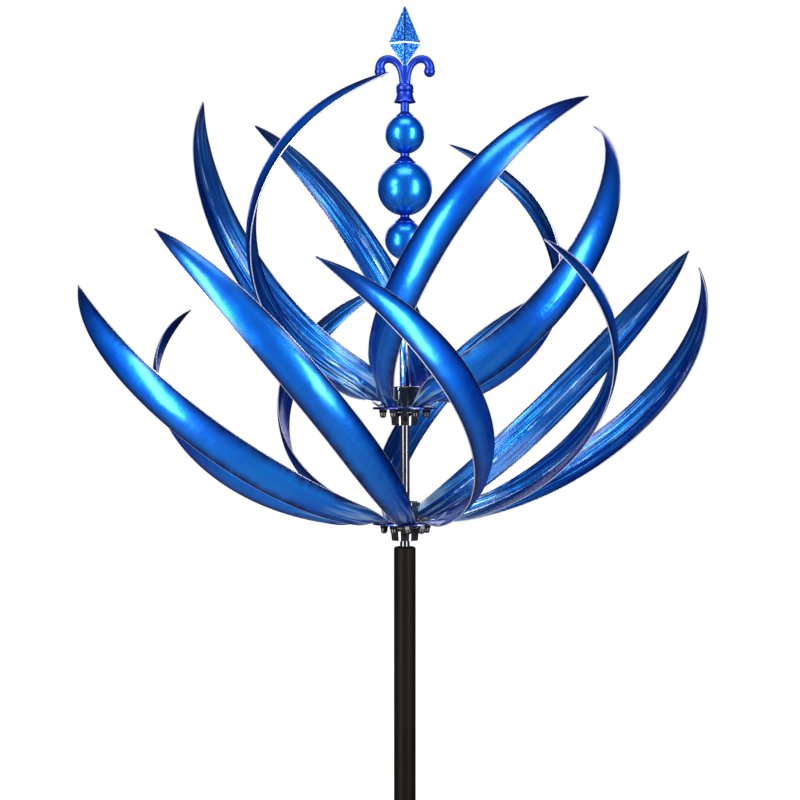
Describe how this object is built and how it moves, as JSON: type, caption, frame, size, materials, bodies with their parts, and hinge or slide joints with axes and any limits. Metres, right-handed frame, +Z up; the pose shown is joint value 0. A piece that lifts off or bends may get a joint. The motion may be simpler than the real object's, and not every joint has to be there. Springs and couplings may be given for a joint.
{
  "type": "kinetic wind sculpture",
  "caption": "Garden wind spinner: two coaxial rotors of curled metallic-blue blades turning opposite ways on a rod above a staked pole, under a ball finial.",
  "frame": {"origin": "on the pole's axis at the ground line, level with the underside of the step bar, where the prongs enter the ground", "axes": "+Z up along the pole and the axis that both rotors turn about, -Y towards the viewer's side, +X to the right"},
  "size_m": [0.5096, 0.5178, 1.3055],
  "materials": {
    "blue_metallic": "glossy metallic blue lacquer on pressed steel",
    "black_gloss": "gloss black enamel on steel",
    "black_powder_coat": "satin black powder coat on steel tube",
    "black_fastener": "black oxide fastener steel",
    "bearing_steel": "ground bearing steel",
    "nylon": "natural nylon"
  },
  "bodies": {
    "stand": {"ground_prongs": "black_powder_coat", "step_bar": "black_powder_coat", "stake_stem": "black_powder_coat", "pole_lower": "black_powder_coat", "pole_middle": "black_powder_coat", "pole_upper": "black_powder_coat", "pole_lock_screws": "black_fastener", "pole_cap": "black_powder_coat", "rod": "black_gloss", "lower_collar": "black_gloss", "lower_set_screw": "black_fastener", "lower_thrust_washer": "nylon", "lower_inner_races": "bearing_steel", "lower_bearing_spacer": "bearing_steel", "upper_collar": "black_gloss", "upper_set_screw": "black_fastener", "upper_thrust_washer": "nylon", "upper_inner_races": "bearing_steel", "upper_bearing_spacer": "bearing_steel", "spindle_sleeve": "blue_metallic", "ball_bottom": "blue_metallic", "ball_middle": "blue_metallic", "ball_top": "blue_metallic", "spacer_bottom": "blue_metallic", "spacer_middle": "blue_metallic", "spacer_top": "blue_metallic", "finial_collar": "blue_metallic", "finial_scrolls": "blue_metallic", "finial_spear": "blue_metallic"},
    "lower_rotor": {"lower_hub": "black_gloss", "lower_hub_cap": "black_gloss", "lower_plate": "blue_metallic", "lower_outer_races": "bearing_steel", "lower_bearing_balls": "bearing_steel", "lower_blade_screws": "black_fastener", "lower_cap_nuts": "black_fastener", "lower_blade_1": "blue_metallic", "lower_blade_2": "blue_metallic", "lower_blade_3": "blue_metallic", "lower_blade_4": "blue_metallic", "lower_blade_5": "blue_metallic", "lower_blade_6": "blue_metallic", "lower_blade_7": "blue_metallic", "lower_blade_8": "blue_metallic", "lower_blade_9": "blue_metallic"},
    "upper_rotor": {"upper_hub": "black_gloss", "upper_hub_cap": "black_gloss", "upper_plate": "blue_metallic", "upper_outer_races": "bearing_steel", "upper_bearing_balls": "bearing_steel", "upper_blade_screws": "black_fastener", "upper_cap_nuts": "black_fastener", "upper_blade_1": "blue_metallic", "upper_blade_2": "blue_metallic", "upper_blade_3": "blue_metallic", "upper_blade_4": "blue_metallic", "upper_blade_5": "blue_metallic", "upper_blade_6": "blue_metallic"}
  },
  "joints": [
    {"name": "lower_spin", "type": "hinge", "parent": "stand", "child": "lower_rotor", "pos_m": [0, 0, 0.73], "axis": [0, 0, 1], "continuous": true},
    {"name": "upper_spin", "type": "hinge", "parent": "stand", "child": "upper_rotor", "pos_m": [0, 0, 0.825], "axis": [0, 0, 1], "continuous": true}
  ]
}
